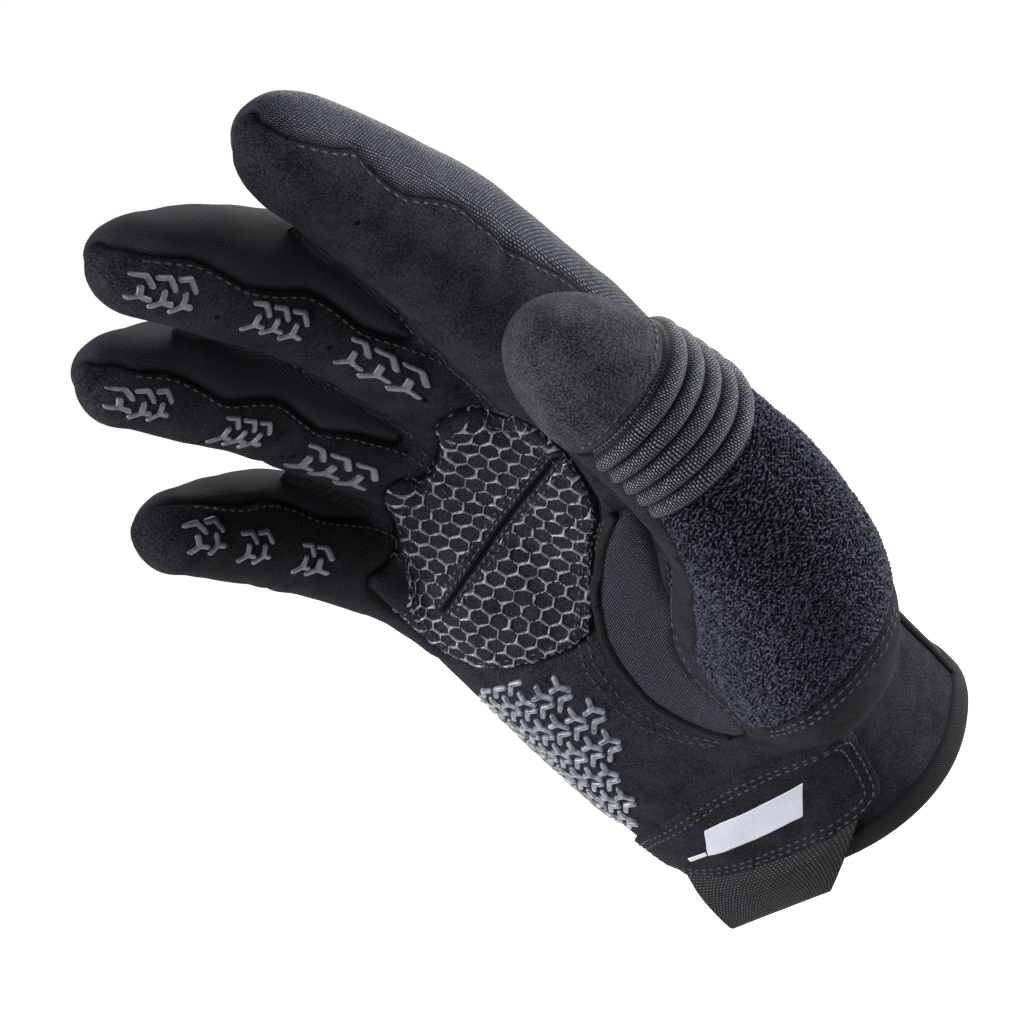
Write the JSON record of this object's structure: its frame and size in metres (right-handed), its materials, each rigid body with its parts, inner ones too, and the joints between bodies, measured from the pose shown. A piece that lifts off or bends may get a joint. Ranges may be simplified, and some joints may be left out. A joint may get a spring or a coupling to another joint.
{
  "type": "tactical glove",
  "caption": "Right-hand work glove in a relaxed curl: suede palm with honeycomb grip, mesh back, ribbed and towelled thumb, cuff pull tab.",
  "frame": {"origin": "middle of the wrist opening, in the plane of the cuff's edge", "axes": "+Z from the cuff towards the fingertips, -Y out of the palm, +X towards the thumb side"},
  "size_m": [0.1224, 0.0861, 0.2238],
  "materials": {
    "suede": "napped, matt",
    "air_mesh": "coarse mesh",
    "stretch_cloth": "fine diagonal rib",
    "towelling": "looped pile",
    "ribbed_knit": "padded ribs",
    "twill": "plain woven",
    "printed_suede": "suede with glossy printed lines",
    "grip_print": "glossy print",
    "binding": "satin tape",
    "strap_suede": "napped, matt",
    "name_print": "flat print",
    "webbing": "woven tape"
  },
  "bodies": {
    "root": {"index_back": "air_mesh", "index_face": "suede", "middle_back": "stretch_cloth", "middle_face": "suede", "ring_back": "stretch_cloth", "ring_face": "suede", "pinky_back": "stretch_cloth", "pinky_face": "suede", "thumb_cap": "suede", "thumb_front": "suede", "thumb_towel": "towelling", "thumb_ribs": "ribbed_knit", "palm_panel": "suede", "back_panel": "air_mesh", "thumb_gusset": "twill", "palm_grip": "printed_suede", "heel_grip": "grip_print", "thumb_piping": "binding", "pull_strap": "strap_suede", "name_bar": "name_print", "pull_loop": "webbing", "cuff_binding": "binding"}
  },
  "joints": []
}
